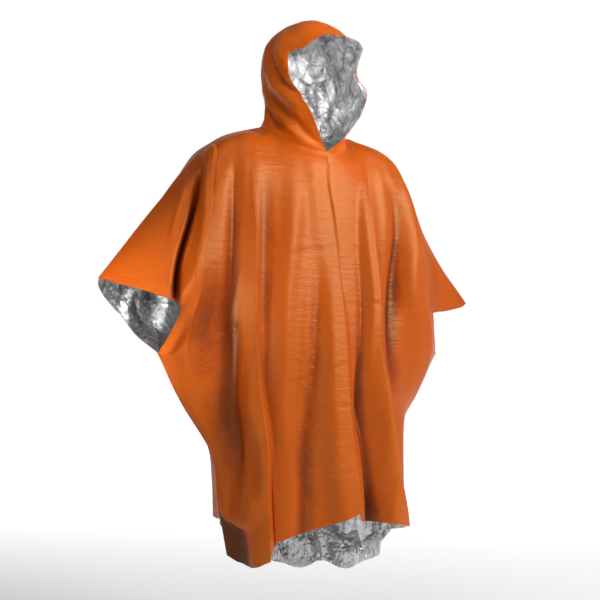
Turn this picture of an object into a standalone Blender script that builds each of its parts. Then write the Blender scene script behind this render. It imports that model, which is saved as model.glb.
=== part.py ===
"""Emergency poncho: orange film outside, silver foil inside, hood up and
both arms of the cut held out and down, hollow all through.

Frame: metres, +Z up. The front faces -Y and the wearer's left side is +X.
The origin is where the shoulders carry it: on the middle plane, level with
the top of the shoulders.

A bat-wing cut: a front and a back panel meet along the shoulder and arm
seams and down the side seams below the cuffs, and a hood in two halves
rises from the neckline. Each piece is a wall of the cloth's thickness on
an open surface worked out from the section tables below.
"""
import math

import bmesh
import bpy
import numpy as np

WALL = 0.0012          # thickness of every cloth wall
GAP = 0.0003           # clear space between two pieces at a seam
NECK_U = 0.26          # where the neckline meets the shoulder seam, across
CUFF_V = 0.50          # where the cuff ends and the side seam starts, down
NECK_HALF_WIDTH = 0.120
NECK_FRONT, NECK_BACK = 0.100, 0.078      # neckline reach forward and back
NECK_Y = -0.002
V_BOTTOM_Z, NECK_SIDE_Z, NAPE_Z = -0.020, 0.047, 0.040
HEM_TURN = 0.045       # how far the front turns to the wearer's left at the hem
FRONT_GRID = (58, 14)  # cells across and down
BACK_GRID = (50, 14)
HOOD_GRID = (20, 17)   # cells from crown seam to free edge, neckline to brim

COLUMN_U = (0.0, 0.14, 0.26, 0.50, 0.75, 1.0)
SHOULDER_LIFT = 0.016  # how much higher the cloth stands over the left shoulder

# Height of each hem round from the wearer's right side seam to the left one.
#   u,     z
FRONT_HEM = ((-1.0, -1.008), (-0.75, -1.020), (-0.50, -1.002), (-0.26, -0.953), (-0.14, -0.928), (0.0, -0.905),
             (0.07, -0.935), (0.14, -0.956), (0.26, -0.968), (0.50, -0.980), (0.75, -0.990), (1.0, -1.010))
BACK_HEM = ((-1.0, -0.925), (-0.75, -0.935), (-0.50, -0.955), (-0.26, -1.030), (-0.14, -1.075), (0.0, -1.100),
            (0.14, -1.112), (0.26, -1.120), (0.50, -1.122), (0.75, -1.112), (1.0, -1.010))

# Sections of the front from the neckline to the hem: how far down (v), then
# points of one half (x is the distance outward): centre, chest, below the
# neck, below the shoulder, and the arm and outer edge on each side.
#   v,     centre,                chest,                 neck,                  shoulder,              right arm,             right edge,             left arm,              left edge
FRONT_SECTIONS = (
    (0.000, (.000, -.100, -.020), (.085, -.072, .008), (.120, -.005, .045), (.262, .010, -.008), (.410, .004, -.168), (.562, -.006, -.350), (.405, .004, -.180), (.578, -.020, -.378)),
    (0.045, (.000, -.108, -.060), (.088, -.094, -.030), (.128, -.055, .008), (.266, -.046, -.020), (.406, -.040, -.186), (.540, -.040, -.362), (.406, -.036, -.186), (.555, -.030, -.388)),
    (0.100, (.000, -.114, -.105), (.091, -.108, -.088), (.140, -.088, -.055), (.272, -.078, -.070), (.408, -.072, -.230), (.502, -.078, -.376), (.408, -.060, -.225), (.520, -.036, -.396)),
    (0.180, (.000, -.124, -.175), (.096, -.121, -.165), (.152, -.108, -.148), (.278, -.096, -.160), (.400, -.100, -.290), (.462, -.116, -.394), (.398, -.074, -.290), (.470, -.044, -.404)),
    (0.300, (.000, -.140, -.300), (.100, -.136, -.296), (.156, -.124, -.288), (.280, -.108, -.290), (.378, -.114, -.362), (.424, -.130, -.412), (.370, -.088, -.372), (.408, -.050, -.414)),
    (0.420, (.000, -.156, -.420), (.100, -.150, -.416), (.156, -.136, -.410), (.270, -.110, -.412), (.356, -.092, -.442), (.424, -.084, -.466), (.372, -.088, -.448), (.414, -.046, -.462)),
    (0.500, (.000, -.165, -.500), (.100, -.158, -.498), (.155, -.142, -.494), (.260, -.108, -.492), (.342, -.072, -.502), (.430, -.030, -.516), (.372, -.080, -.512), (.448, -.028, -.524)),
    (0.620, (.000, -.173, -.610), (.100, -.165, -.610), (.155, -.146, -.610), (.246, -.102, -.612), (.308, -.056, -.616), (.364, -.014, -.628), (.318, -.070, -.622), (.381, -.014, -.632)),
    (0.760, (.000, -.182, -.735), (.100, -.172, -.736), (.150, -.152, -.740), (.218, -.108, -.748), (.248, -.056, -.755), (.268, .000, -.765), (.250, -.062, -.752), (.276, .000, -.762)),
    (0.880, (.000, -.190, -.835), (.100, -.178, -.838), (.148, -.156, -.846), (.210, -.110, -.864), (.236, -.056, -.874), (.252, .000, -.882), (.254, -.074, -.868), (.268, .000, -.884)),
    (1.000, (.000, -.196, -.925), (.100, -.182, -.932), (.148, -.158, -.945), (.206, -.112, -.975), (.219, -.060, -.990), (.229, .000, -1.000), (.272, -.086, -.985), (.272, .000, -1.010)),
)
BACK_SECTIONS = (
    (0.000, (.000, .076, .040), (.085, .052, .043), (.120, -.002, .045), (.262, .010, -.008), (.410, .004, -.168), (.562, -.006, -.350), (.405, .004, -.180), (.578, -.020, -.378)),
    (0.045, (.000, .100, .010), (.088, .092, .010), (.128, .060, .018), (.266, .062, -.022), (.406, .044, -.186), (.548, .028, -.364), (.406, .044, -.186), (.556, .020, -.392)),
    (0.100, (.000, .118, -.060), (.091, .114, -.056), (.140, .102, -.046), (.272, .090, -.078), (.408, .072, -.232), (.524, .060, -.382), (.408, .072, -.232), (.526, .050, -.404)),
    (0.180, (.000, .134, -.160), (.096, .130, -.160), (.152, .120, -.150), (.276, .104, -.172), (.400, .096, -.290), (.492, .092, -.402), (.400, .094, -.290), (.486, .078, -.414)),
    (0.300, (.000, .146, -.310), (.100, .142, -.308), (.156, .132, -.302), (.276, .112, -.304), (.378, .108, -.372), (.454, .102, -.436), (.378, .108, -.372), (.446, .090, -.446)),
    (0.420, (.000, .154, -.440), (.100, .150, -.438), (.156, .138, -.434), (.266, .108, -.430), (.356, .088, -.452), (.434, .058, -.482), (.360, .088, -.455), (.436, .060, -.490)),
    (0.500, (.000, .158, -.530), (.100, .154, -.528), (.155, .140, -.522), (.252, .104, -.512), (.338, .070, -.514), (.430, -.030, -.516), (.350, .074, -.518), (.448, -.028, -.524)),
    (0.620, (.000, .164, -.665), (.100, .158, -.662), (.152, .142, -.656), (.236, .098, -.642), (.298, .056, -.634), (.364, -.014, -.628), (.318, .062, -.638), (.381, -.014, -.632)),
    (0.760, (.000, .168, -.820), (.100, .162, -.816), (.146, .142, -.810), (.198, .096, -.790), (.236, .052, -.776), (.268, .000, -.765), (.244, .058, -.776), (.276, .000, -.762)),
    (0.880, (.000, .172, -.955), (.100, .164, -.950), (.142, .142, -.942), (.190, .096, -.910), (.224, .050, -.862), (.256, .000, -.845), (.252, .058, -.905), (.268, .000, -.884)),
    (1.000, (.000, .174, -1.090), (.100, .166, -1.085), (.142, .144, -1.065), (.188, .096, -1.030), (.220, .050, -.935), (.2435, .000, -.925), (.262, .060, -1.050), (.272, .000, -1.010)),
)

# Hoops of each hood half from the neckline (t = 0) to the brim (t = 1): a
# point on the crown seam, three round the side, and the free edge.
#   t,    crown,                quarter,              side,                  cheek,                 edge
HOOD_RIGHT = (
    (0.00, (.000, .076, .040), (.085, .052, .043), (.120, -.002, .047), (.085, -.072, .008), (.000, -.102, -.020)),
    (0.17, (.000, .080, .110), (.078, .050, .104), (.110, -.008, .082), (.098, -.088, .038), (.037, -.123, .018)),
    (0.33, (.000, .102, .190), (.083, .062, .166), (.108, -.012, .124), (.106, -.100, .072), (.075, -.144, .056)),
    (0.50, (.000, .100, .262), (.081, .064, .234), (.108, -.012, .172), (.113, -.084, .120), (.100, -.130, .103)),
    (0.65, (.000, .062, .312), (.079, .036, .278), (.106, -.022, .214), (.112, -.070, .168), (.107, -.098, .148)),
    (0.78, (.000, -.004, .330), (.062, -.014, .298), (.100, -.040, .246), (.108, -.070, .206), (.105, -.087, .183)),
    (0.90, (.000, -.078, .312), (.054, -.076, .290), (.086, -.076, .256), (.100, -.080, .228), (.101, -.083, .206)),
    (1.00, (.000, -.140, .262), (.038, -.139, .254), (.068, -.131, .236), (.085, -.117, .220), (.097, -.080, .224)),
)
HOOD_LEFT = (
    (0.00, (.000, .076, .040), (.085, .052, .043), (.120, -.002, .047), (.085, -.072, .008), (.000, -.102, -.020)),
    (0.17, (.000, .080, .110), (.080, .054, .104), (.112, -.008, .082), (.096, -.086, .038), (.036, -.123, .012)),
    (0.33, (.000, .098, .190), (.080, .060, .166), (.110, -.012, .124), (.104, -.092, .076), (.072, -.126, .053)),
    (0.50, (.000, .100, .262), (.081, .064, .234), (.108, -.014, .172), (.109, -.090, .122), (.095, -.130, .092)),
    (0.65, (.000, .062, .312), (.076, .032, .280), (.104, -.030, .220), (.108, -.100, .168), (.100, -.141, .140)),
    (0.78, (.000, -.004, .330), (.062, -.022, .306), (.096, -.056, .260), (.101, -.092, .214), (.090, -.113, .178)),
    (0.90, (.000, -.078, .312), (.050, -.086, .298), (.077, -.098, .270), (.088, -.112, .240), (.085, -.124, .210)),
    (1.00, (.000, -.140, .262), (.030, -.140, .264), (.052, -.143, .262), (.069, -.148, .254), (.080, -.150, .240)),
)

# Largest folds of each panel: where the crest runs across (u) at the start,
# half way and the end, how far down it starts and ends (v), its height out
# of the cloth (negative for a valley), and its reach to the wearer's right
# and left of the crest in u.
#   u0,    u1,    u2,    v0,   v1,   height, right, left
FRONT_FOLDS = (
    (-.60, -.72, -1.00, 0.02, 0.31, -.030, .050, .040),
    (-.54, -.64, -.87, 0.03, 0.40, .020, .045, .050),
    (-.45, -.55, -.74, 0.10, 1.20, -.012, .070, .060),
    (-.36, -.41, -.49, 0.05, 1.20, .028, .085, .030),
    (-.16, -.22, -.34, 0.12, 1.20, .008, .070, .070),
    (-.05, -.13, -.25, 0.10, 1.20, -.008, .055, .055),
    (.010, .010, .010, 0.00, 1.20, .020, .070, .022),
    (.120, .080, .045, 0.12, 1.20, -.010, .040, .050),
    (.270, .200, .250, 0.06, 1.20, .021, .060, .026),
    (.440, .360, .300, 0.06, 0.75, -.014, .045, .060),
    (.500, .560, .640, 0.02, 0.66, .014, .080, .080),
)
BACK_FOLDS = (
    (-.60, -.74, -.96, 0.03, 0.40, -.022, .060, .060),
    (-.42, -.48, -.54, 0.06, 1.20, .016, .070, .050),
    (-.28, -.32, -.38, 0.10, 1.20, -.010, .050, .050),
    (-.14, -.16, -.18, 0.08, 1.20, .014, .070, .050),
    (.02, .03, .05, 0.16, 1.20, -.012, .060, .060),
    (.18, .21, .24, 0.08, 1.20, .016, .060, .060),
    (.34, .38, .42, 0.12, 1.20, -.010, .050, .050),
    (.48, .52, .58, 0.06, 1.20, .016, .060, .060),
    (.62, .76, .96, 0.03, 0.40, -.022, .060, .060),
)

LOOKS = {
    "front_panel": ((0.56, 0.075, 0.005, 1.0), 0.42, 0.0),
    "back_panel": ((0.54, 0.070, 0.005, 1.0), 0.42, 0.0),
    "hood_right": ((0.50, 0.062, 0.005, 1.0), 0.42, 0.0),
    "hood_left": ((0.52, 0.066, 0.005, 1.0), 0.42, 0.0),
}


MIRROR = np.array([-1.0, 1.0, 1.0])


def spline(knots, values, at):
    """A smooth curve through values at knots, read at every place in at."""
    knots, values, at = np.asarray(knots, float), np.asarray(values, float), np.asarray(at, float)
    step = np.diff(knots)
    slope = np.diff(values, axis=0) / step[:, None]
    tangent = np.empty_like(values)
    tangent[1:-1] = (slope[:-1] * step[1:, None] + slope[1:] * step[:-1, None]) / (step[:-1] + step[1:])[:, None]
    tangent[0], tangent[-1] = slope[0], slope[-1]
    i = np.clip(np.searchsorted(knots, at, side="right") - 1, 0, len(knots) - 2)
    h = step[i][..., None]
    x = ((at - knots[i]) / step[i])[..., None]
    return ((2 * x**3 - 3 * x**2 + 1) * values[i] + (x**3 - 2 * x**2 + x) * h * tangent[i]
            + (3 * x**2 - 2 * x**3) * values[i + 1] + (x**3 - x**2) * h * tangent[i + 1])


def smooth(x):
    x = np.clip(x, 0.0, 1.0)
    return x * x * (3 - 2 * x)


def neckline(u, front):
    """The neck opening's rim: half an ellipse in plan, lowest at the front."""
    turn = np.clip(np.abs(u) / NECK_U, 0, 1) * math.pi / 2
    reach = -NECK_FRONT if front else NECK_BACK
    low = V_BOTTOM_Z if front else NAPE_Z
    rise = 1 - np.cos(turn) if front else np.sin(turn) ** 2
    return np.stack([np.sign(u) * NECK_HALF_WIDTH * np.sin(turn),
                     NECK_Y + reach * np.cos(turn),
                     low + (NECK_SIDE_Z - low) * rise], -1)


def arm_seam(u):
    """Shoulder and arm seam from the neck to the tip of the cuff."""
    row = FRONT_SECTIONS[0]
    start = (NECK_HALF_WIDTH, NECK_Y, NECK_SIDE_Z)
    along = np.clip(np.abs(u), NECK_U, 1)
    knots = (NECK_U, 0.50, 0.75, 1.0)
    right = spline(knots, [start, row[4], row[5], row[6]], along) * MIRROR
    left = spline(knots, [start, row[4], row[7], row[8]], along)
    return np.where((u < 0)[..., None], right, left)


def side_edge(v, front, left):
    """Outer edge of a panel: down the cuff, then down the side seam."""
    rows = FRONT_SECTIONS if front else BACK_SECTIONS
    at = [r[0] for r in rows]
    edge = [r[8] if left else np.multiply(r[6], MIRROR) for r in rows]
    k = at.index(CUFF_V)
    upper = spline(at[:k + 1], edge[:k + 1], np.minimum(v, CUFF_V))
    lower = spline(at[k:], edge[k:], np.maximum(v, CUFF_V))
    lower[:, 1] = np.minimum(lower[:, 1], 0.0)
    return np.where((v < CUFF_V)[..., None], upper, lower)


def net(rows, u, v):
    """The section table as a smooth surface over the whole width."""
    at = [r[0] for r in rows]
    left = [spline(at, [r[k] for r in rows], v) for k in (1, 2, 3, 4, 7, 8)]
    right = [spline(at, [r[k] for r in rows], v) * MIRROR for k in (6, 5, 4, 3, 2)]
    knots = [-x for x in COLUMN_U[:0:-1]] + list(COLUMN_U)
    values = right + left
    out = np.empty(u.shape + (3,))
    for i in range(u.shape[0]):
        out[i] = spline(knots, [c[i, 0] for c in values], u[i])
    return out


def fold_height(folds, u, v):
    """How far the folds stand out of the panel at (u, v)."""
    total = np.zeros_like(u)
    for u0, u1, u2, v0, v1, height, right, left in folds:
        end = min(v1, 1.0)
        along = np.clip((v - v0) / (end - v0), 0, 1)
        crest = u0 * (1 - along) * (1 - 2 * along) + 4 * u1 * along * (1 - along) + u2 * along * (2 * along - 1)
        d = u - crest
        reach = np.where(d < 0, right, left)
        shape = np.exp(-(d / reach) ** 2 * 1.4)
        fade = smooth((v - v0) / 0.16) * (1 - smooth((v - v1 + 0.16) / 0.16))
        total += height * shape * fade
    return total


def normals(p):
    du = np.gradient(p, axis=1)
    dv = np.gradient(p, axis=0)
    n = np.cross(du, dv)
    return n / np.maximum(np.linalg.norm(n, axis=-1, keepdims=True), 1e-12)


def panel_surface(front, nu, nv):
    """Grid of points of a panel, row 0 at the neckline and arm seams."""
    rows, folds = (FRONT_SECTIONS, FRONT_FOLDS) if front else (BACK_SECTIONS, BACK_FOLDS)
    u = np.linspace(-1, 1, nu + 1)
    v = np.linspace(0, 1, nv + 1)
    v = 0.72 * v + 0.28 * v ** 2
    v[np.argmin(abs(v - CUFF_V))] = CUFF_V
    u[np.argmin(abs(u - NECK_U))], u[np.argmin(abs(u + NECK_U))] = NECK_U, -NECK_U
    uu, vv = np.meshgrid(u, v)
    p = net(rows, uu, vv)
    top = np.where((np.abs(u) <= NECK_U)[:, None], neckline(u, front), arm_seam(u))
    fade = (1 - smooth(vv / 0.10))[..., None]
    p = p + fade * (top[None] - p[:1])
    for column, left in ((0, False), (-1, True)):
        near = smooth((np.abs(uu) - 0.86) / 0.14) * ((uu > 0) == left)
        p = p + near[..., None] * (side_edge(v, front, left)[:, None] - p[:, [column]])
    hem = np.array(FRONT_HEM if front else BACK_HEM)
    drop = spline(hem[:, 0], hem[:, 1:], u)[:, 0] - p[-1, :, 2]
    p[..., 2] += drop[None] * smooth((vv - 0.62) / 0.38)
    p[..., 2] += SHOULDER_LIFT * smooth((uu - NECK_U) / 0.07) * (1 - smooth((uu - 0.5) / 0.2)) * (1 - smooth(vv / 0.25))
    sign = -1.0 if front else 1.0
    n = normals(p) * 1.0
    n *= np.where((n[..., 1] * sign) < 0, -1.0, 1.0)[..., None]
    keep = np.where(vv >= CUFF_V, 1 - smooth((np.abs(uu) - 0.84) / 0.16), 1 - 0.6 * smooth((np.abs(uu) - 0.9) / 0.1))
    p = p + n * (fold_height(folds, uu, vv) * keep)[..., None]
    if front:
        p[..., 0] += HEM_TURN * smooth(vv) * (1 - np.abs(uu) ** 2)
    p[..., 1] += sign * GAP / 2
    return p


def hood_surface(left, nt, ns):
    """Grid of a hood half, row 0 at the neckline, column 0 at the crown."""
    t = np.linspace(0, 1, nt + 1)
    s = np.linspace(0, 1, ns + 1)
    hoops = HOOD_LEFT if left else HOOD_RIGHT
    columns = [spline([h[0] for h in hoops], [h[k] for h in hoops], t) for k in range(1, 6)]
    knots = (-0.30, 0.0, 0.30, 0.55, 0.78, 1.0)
    p = np.empty((nt + 1, ns + 1, 3))
    for i in range(nt + 1):
        p[i] = spline(knots, [columns[1][i] * MIRROR] + [c[i] for c in columns], s)
    # The bottom edge follows the neckline's rim, lifted clear of the panels.
    around = np.linspace(math.pi, 0, ns + 1)
    u = NECK_U * np.where(around < math.pi / 2, around, math.pi - around) / (math.pi / 2)
    base = np.where((around <= math.pi / 2)[:, None], neckline(u, True), neckline(u, False))
    base[:, 2] += WALL + GAP
    shrink = 1 - (GAP + 0.0002) / NECK_HALF_WIDTH
    base[:, 0] *= shrink
    base[:, 1] *= shrink
    fade = (1 - smooth(t / 0.30))[:, None, None]
    p = p + fade * (base[None] - p[:1])
    p[..., 0] = np.maximum(p[..., 0], GAP * 0.5)
    p[:, 0, 0] = GAP * 0.9
    if not left:
        p[..., 0] *= -1
    return p


def sheet(name, points, outward, offset, collection):
    """An object with a wall on an open grid of points."""
    rows, columns = points.shape[:2]
    mesh = bpy.data.meshes.new(name)
    bm = bmesh.new()
    verts = [[bm.verts.new(points[i, j]) for j in range(columns)] for i in range(rows)]
    for i in range(rows - 1):
        for j in range(columns - 1):
            face = [verts[i][j], verts[i + 1][j], verts[i + 1][j + 1], verts[i][j + 1]]
            bm.faces.new(face if outward else face[::-1])
    bm.to_mesh(mesh)
    bm.free()
    mesh.shade_smooth()
    obj = bpy.data.objects.new(name, mesh)
    collection.objects.link(obj)
    wall = obj.modifiers.new("wall", "SOLIDIFY")
    wall.thickness = WALL
    wall.offset = offset
    wall.use_even_offset = False
    colour, roughness, metallic = LOOKS[name]
    material = bpy.data.materials.new(name)
    material.use_nodes = True
    shader = material.node_tree.nodes["Principled BSDF"]
    shader.inputs["Base Color"].default_value = colour
    shader.inputs["Roughness"].default_value = roughness
    shader.inputs["Metallic"].default_value = metallic
    mesh.materials.append(material)
    return obj


def main():
    for obj in list(bpy.data.objects):
        bpy.data.objects.remove(obj, do_unlink=True)
    poncho = bpy.data.collections.new("emergency_poncho")
    bpy.context.scene.collection.children.link(poncho)
    sheet("front_panel", panel_surface(True, *FRONT_GRID), True, 1.0, poncho)
    sheet("back_panel", panel_surface(False, *BACK_GRID), False, 1.0, poncho)
    sheet("hood_left", hood_surface(True, HOOD_GRID[1], HOOD_GRID[0]), True, -1.0, poncho)
    sheet("hood_right", hood_surface(False, HOOD_GRID[1], HOOD_GRID[0]), False, -1.0, poncho)


if __name__ == "__main__":
    main()
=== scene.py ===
"""The emergency poncho's looks: each cut piece as a thin shell of film on the
form of its solid, with its folds, creases and foil inside.
"""
import math

import bpy
import numpy as np
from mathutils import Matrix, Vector, noise


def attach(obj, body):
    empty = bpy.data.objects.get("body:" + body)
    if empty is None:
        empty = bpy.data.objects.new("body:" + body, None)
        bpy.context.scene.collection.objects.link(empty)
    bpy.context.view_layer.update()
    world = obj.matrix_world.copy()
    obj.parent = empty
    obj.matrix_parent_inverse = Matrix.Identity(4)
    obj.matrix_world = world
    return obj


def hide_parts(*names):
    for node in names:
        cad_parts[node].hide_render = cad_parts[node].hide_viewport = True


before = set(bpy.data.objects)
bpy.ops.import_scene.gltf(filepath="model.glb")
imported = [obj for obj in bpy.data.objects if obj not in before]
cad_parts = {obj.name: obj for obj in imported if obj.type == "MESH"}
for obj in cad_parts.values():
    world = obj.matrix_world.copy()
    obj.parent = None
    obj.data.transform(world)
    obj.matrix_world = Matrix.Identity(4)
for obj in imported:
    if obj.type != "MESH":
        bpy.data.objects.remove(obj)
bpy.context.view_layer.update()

# ---------------------------------------------------------------- the cut
# The same sections as the solids, in metres, +X the wearer's left, -Y the front.
WALL = 0.0012          # thickness of every cloth wall
GAP = 0.0003           # clear space between two pieces at a seam
NECK_U = 0.26          # where the neckline meets the shoulder seam, across
CUFF_V = 0.50          # where the cuff ends and the side seam starts, down
NECK_HALF_WIDTH = 0.120
NECK_FRONT, NECK_BACK = 0.100, 0.078      # neckline reach forward and back
NECK_Y = -0.002
V_BOTTOM_Z, NECK_SIDE_Z, NAPE_Z = -0.020, 0.047, 0.040
HEM_TURN = 0.045       # how far the front turns to the wearer's left at the hem
COLUMN_U = (0.0, 0.14, 0.26, 0.50, 0.75, 1.0)
SHOULDER_LIFT = 0.016  # how much higher the cloth stands over the left shoulder

# Height of each hem round from the wearer's right side seam to the left one,
# stepped where a pleat's edge hangs lower than the cloth behind it.
#   u,     z
FRONT_HEM = ((-1.0, -1.012), (-0.90, -1.026), (-0.78, -1.031), (-0.66, -1.029), (-0.56, -1.023), (-0.49, -1.012), (-0.455, -0.968), (-0.26, -0.948), (-0.14, -0.930), (-0.045, -0.908),
             (-0.010, -0.930), (0.07, -0.938), (0.14, -0.950), (0.26, -0.966), (0.50, -0.980), (0.75, -0.990), (1.0, -1.010))
BACK_HEM = ((-1.0, -0.925), (-0.75, -0.930), (-0.50, -0.932), (-0.26, -0.955), (-0.14, -1.015), (-0.07, -1.055), (0.0, -1.085), (0.04, -1.094), (0.09, -1.108),
            (0.135, -1.121), (0.17, -1.120), (0.20, -1.114), (0.28, -1.104), (0.36, -1.104), (0.45, -1.113), (0.54, -1.121), (0.58, -1.121),
            (0.63, -1.114), (0.76, -1.100), (0.865, -1.086), (0.880, -1.050), (1.0, -1.014))

# Sections of the front from the neckline to the hem: how far down (v), then
# points of one half (x is the distance outward): centre, chest, below the
# neck, below the shoulder, and the arm and outer edge on each side.
#   v,     centre,                chest,                 neck,                  shoulder,              right arm,             right edge,             left arm,              left edge
FRONT_SECTIONS = (
    (0.000, (.000, -.100, -.020), (.085, -.072, .008), (.120, -.005, .045), (.262, .010, -.008), (.410, .004, -.168), (.562, -.006, -.350), (.405, .004, -.180), (.578, -.020, -.378)),
    (0.045, (.000, -.108, -.060), (.088, -.094, -.030), (.128, -.055, .008), (.266, -.046, -.020), (.406, -.040, -.186), (.540, -.040, -.362), (.404, -.022, -.188), (.555, -.030, -.388)),
    (0.100, (.000, -.114, -.105), (.091, -.108, -.088), (.140, -.088, -.055), (.272, -.078, -.070), (.408, -.072, -.230), (.502, -.078, -.376), (.404, -.044, -.228), (.520, -.036, -.396)),
    (0.180, (.000, -.124, -.175), (.096, -.121, -.165), (.152, -.108, -.148), (.278, -.096, -.160), (.400, -.100, -.290), (.462, -.116, -.394), (.394, -.062, -.292), (.470, -.044, -.404)),
    (0.300, (.000, -.140, -.300), (.100, -.136, -.296), (.156, -.124, -.288), (.280, -.108, -.290), (.378, -.114, -.362), (.424, -.130, -.412), (.370, -.088, -.372), (.408, -.050, -.414)),
    (0.420, (.000, -.156, -.420), (.100, -.150, -.416), (.156, -.136, -.410), (.270, -.110, -.412), (.356, -.092, -.442), (.424, -.084, -.466), (.372, -.088, -.448), (.414, -.046, -.462)),
    (0.500, (.000, -.165, -.500), (.100, -.158, -.498), (.155, -.142, -.494), (.260, -.108, -.492), (.342, -.072, -.502), (.430, -.030, -.516), (.372, -.080, -.512), (.448, -.028, -.524)),
    (0.620, (.000, -.173, -.610), (.100, -.165, -.610), (.155, -.146, -.610), (.246, -.102, -.612), (.308, -.056, -.616), (.364, -.014, -.628), (.318, -.070, -.622), (.381, -.014, -.632)),
    (0.760, (.000, -.182, -.735), (.100, -.172, -.736), (.150, -.152, -.740), (.218, -.108, -.748), (.248, -.056, -.755), (.268, .000, -.765), (.250, -.062, -.752), (.276, .000, -.762)),
    (0.880, (.000, -.190, -.835), (.100, -.178, -.838), (.148, -.156, -.846), (.210, -.110, -.864), (.236, -.056, -.874), (.252, .000, -.882), (.262, -.074, -.868), (.280, .000, -.884)),
    (1.000, (.000, -.196, -.925), (.100, -.182, -.932), (.148, -.158, -.945), (.206, -.112, -.975), (.219, -.060, -.990), (.229, .000, -1.000), (.266, -.080, -.985), (.304, .000, -1.010)),
)
BACK_SECTIONS = (
    (0.000, (.000, .076, .040), (.085, .052, .043), (.120, -.002, .045), (.262, .010, -.008), (.410, .004, -.168), (.562, -.006, -.350), (.405, .004, -.180), (.578, -.020, -.378)),
    (0.045, (.000, .100, .010), (.088, .092, .010), (.128, .060, .018), (.266, .062, -.022), (.406, .044, -.186), (.548, .028, -.364), (.406, .044, -.186), (.556, .020, -.392)),
    (0.100, (.000, .118, -.060), (.091, .114, -.056), (.140, .102, -.046), (.272, .090, -.078), (.408, .072, -.232), (.524, .060, -.382), (.408, .072, -.232), (.526, .050, -.404)),
    (0.180, (.000, .134, -.160), (.096, .130, -.160), (.152, .120, -.150), (.276, .104, -.172), (.400, .096, -.290), (.492, .092, -.402), (.400, .094, -.290), (.486, .078, -.414)),
    (0.300, (.000, .146, -.310), (.100, .142, -.308), (.156, .132, -.302), (.276, .112, -.304), (.378, .108, -.372), (.454, .102, -.436), (.378, .108, -.372), (.446, .090, -.446)),
    (0.420, (.000, .154, -.440), (.100, .150, -.438), (.156, .138, -.434), (.266, .108, -.430), (.356, .088, -.452), (.434, .058, -.482), (.360, .088, -.455), (.436, .060, -.490)),
    (0.500, (.000, .158, -.530), (.100, .154, -.528), (.155, .140, -.522), (.252, .104, -.512), (.338, .070, -.514), (.430, -.030, -.516), (.350, .074, -.518), (.448, -.028, -.524)),
    (0.620, (.000, .164, -.665), (.100, .158, -.662), (.152, .142, -.656), (.236, .098, -.642), (.298, .056, -.634), (.364, -.014, -.628), (.318, .062, -.638), (.381, -.014, -.632)),
    (0.760, (.000, .168, -.820), (.100, .162, -.816), (.146, .142, -.810), (.198, .096, -.790), (.236, .052, -.776), (.268, .000, -.765), (.244, .058, -.776), (.276, .000, -.762)),
    (0.880, (.000, .172, -.955), (.100, .164, -.950), (.142, .142, -.942), (.190, .096, -.910), (.224, .050, -.862), (.256, .000, -.845), (.258, .058, -.905), (.280, .000, -.884)),
    (1.000, (.000, .174, -1.090), (.100, .166, -1.085), (.142, .144, -1.065), (.188, .096, -1.030), (.220, .050, -.935), (.2435, .000, -.925), (.276, .060, -1.050), (.304, .000, -1.010)),
)

# Hoops of each hood half from the neckline (t = 0) to the brim (t = 1): a
# point on the crown seam, three round the side, and the free edge.
#   t,    crown,                quarter,              side,                  cheek,                 edge
HOOD_RIGHT = (
    (0.00, (.000, .076, .040), (.085, .052, .043), (.120, -.002, .047), (.085, -.072, .008), (.000, -.102, -.020)),
    (0.17, (.000, .080, .110), (.078, .050, .104), (.110, -.008, .082), (.098, -.088, .038), (.037, -.123, .018)),
    (0.33, (.000, .102, .190), (.083, .062, .166), (.108, -.012, .124), (.106, -.100, .072), (.075, -.144, .056)),
    (0.50, (.000, .100, .262), (.081, .064, .234), (.108, -.012, .172), (.113, -.084, .120), (.100, -.130, .103)),
    (0.65, (.000, .062, .312), (.079, .036, .278), (.106, -.022, .214), (.112, -.070, .168), (.107, -.098, .148)),
    (0.78, (.000, -.004, .330), (.062, -.014, .298), (.100, -.040, .246), (.108, -.070, .206), (.105, -.087, .183)),
    (0.90, (.000, -.078, .312), (.054, -.076, .290), (.086, -.076, .256), (.100, -.080, .228), (.101, -.083, .206)),
    (1.00, (.000, -.140, .262), (.038, -.139, .254), (.068, -.131, .236), (.085, -.117, .220), (.097, -.080, .224)),
)
HOOD_LEFT = (
    (0.00, (.000, .076, .040), (.085, .052, .043), (.120, -.002, .047), (.085, -.072, .008), (.000, -.102, -.020)),
    (0.17, (.000, .080, .110), (.080, .054, .104), (.110, -.008, .082), (.086, -.078, .040), (.036, -.123, .012)),
    (0.33, (.000, .102, .190), (.080, .060, .166), (.108, -.012, .124), (.096, -.086, .080), (.072, -.126, .053)),
    (0.50, (.000, .100, .262), (.081, .064, .234), (.108, -.014, .172), (.109, -.090, .122), (.095, -.130, .092)),
    (0.65, (.000, .062, .312), (.076, .032, .280), (.100, -.030, .220), (.100, -.098, .168), (.100, -.141, .140)),
    (0.78, (.000, -.004, .330), (.062, -.022, .306), (.096, -.056, .260), (.101, -.092, .214), (.090, -.113, .178)),
    (0.90, (.000, -.078, .312), (.050, -.086, .298), (.077, -.098, .270), (.088, -.112, .240), (.085, -.124, .210)),
    (1.00, (.000, -.140, .262), (.030, -.140, .264), (.052, -.143, .262), (.069, -.148, .254), (.080, -.150, .240)),
)

MIRROR = np.array([-1.0, 1.0, 1.0])


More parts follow.
